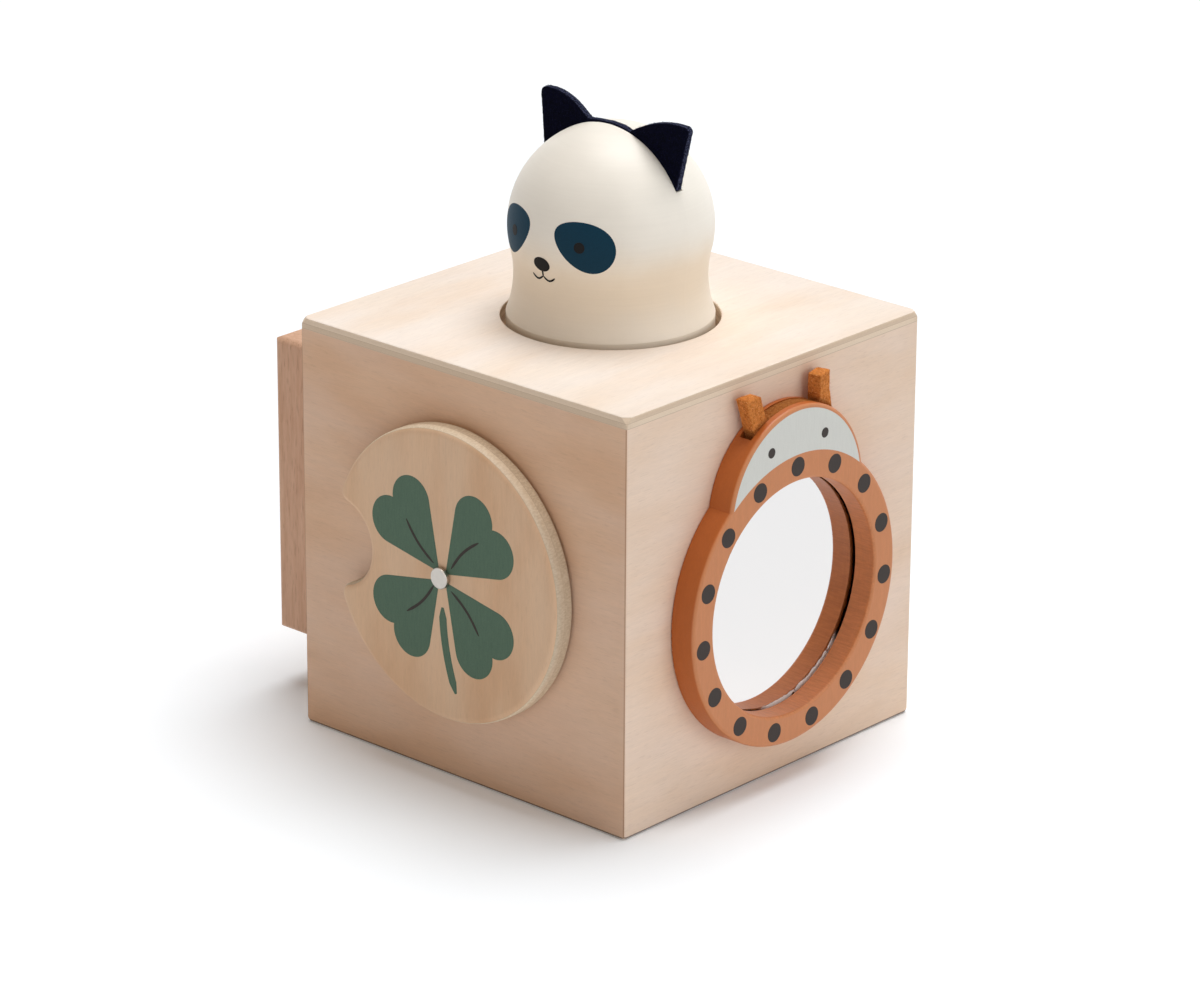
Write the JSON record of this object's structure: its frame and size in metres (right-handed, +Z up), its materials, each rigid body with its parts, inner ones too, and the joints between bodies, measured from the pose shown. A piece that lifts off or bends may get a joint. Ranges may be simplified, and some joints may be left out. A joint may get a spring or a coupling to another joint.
{
  "type": "activity cube",
  "caption": "Wooden baby activity cube: a plywood box with a spinner disc, a round framed mirror with felt ears, a side block and a sprung pop-up animal head in the top.",
  "frame": {"origin": "middle of the box's base, on the surface that it stands on", "axes": "+Z up, -Y out of the face with the spinner disc, +X out of the face with the mirror, -X out of the face with the block"},
  "size_m": [0.194, 0.161, 0.2253],
  "materials": {
    "plywood": "matt clear lacquer over a pale veneer with a fine grain",
    "disc_plywood": "matt clear lacquer with a printed leaf motif",
    "beech": "sanded, matt",
    "terracotta_paint": "satin paint with printed dots",
    "cream_paint": "satin paint",
    "mirror": "polished acrylic mirror",
    "rust_felt": "thick pressed felt",
    "navy_felt": "pressed felt",
    "steel": "plain zinc plating",
    "spring_steel": "bright drawn wire",
    "nylon": "natural nylon"
  },
  "bodies": {
    "box": {"front_panel": "plywood", "mirror_panel": "plywood", "rear_panel": "plywood", "block_panel": "plywood", "top_panel": "plywood", "base_panel": "plywood", "spinner_washer": "nylon", "pivot_pin": "steel", "pivot_washer": "steel", "pivot_nut": "steel", "mirror_frame": "terracotta_paint", "mirror_glass": "mirror", "mirror_ears": "rust_felt", "frame_screws": "steel", "side_block": "beech", "block_screws": "steel", "guide_post": "beech", "spring": "spring_steel"},
    "spinner": {"spinner_disc": "disc_plywood"},
    "popup": {"popup_head": "cream_paint", "head_ears": "navy_felt", "head_flange": "plywood", "flange_screws": "steel"}
  },
  "joints": [
    {"name": "spinner_turn", "type": "hinge", "parent": "box", "child": "spinner", "pos_m": [0, -0.07985, 0.077], "axis": [0, -1, 0], "continuous": true},
    {"name": "popup_press", "type": "slide", "parent": "box", "child": "popup", "axis": [0, 0, 1], "range_m": [-0.045, 0], "stiffness_N_per_m": 150, "springref_m": 0.03, "deforming": ["spring"]}
  ]
}
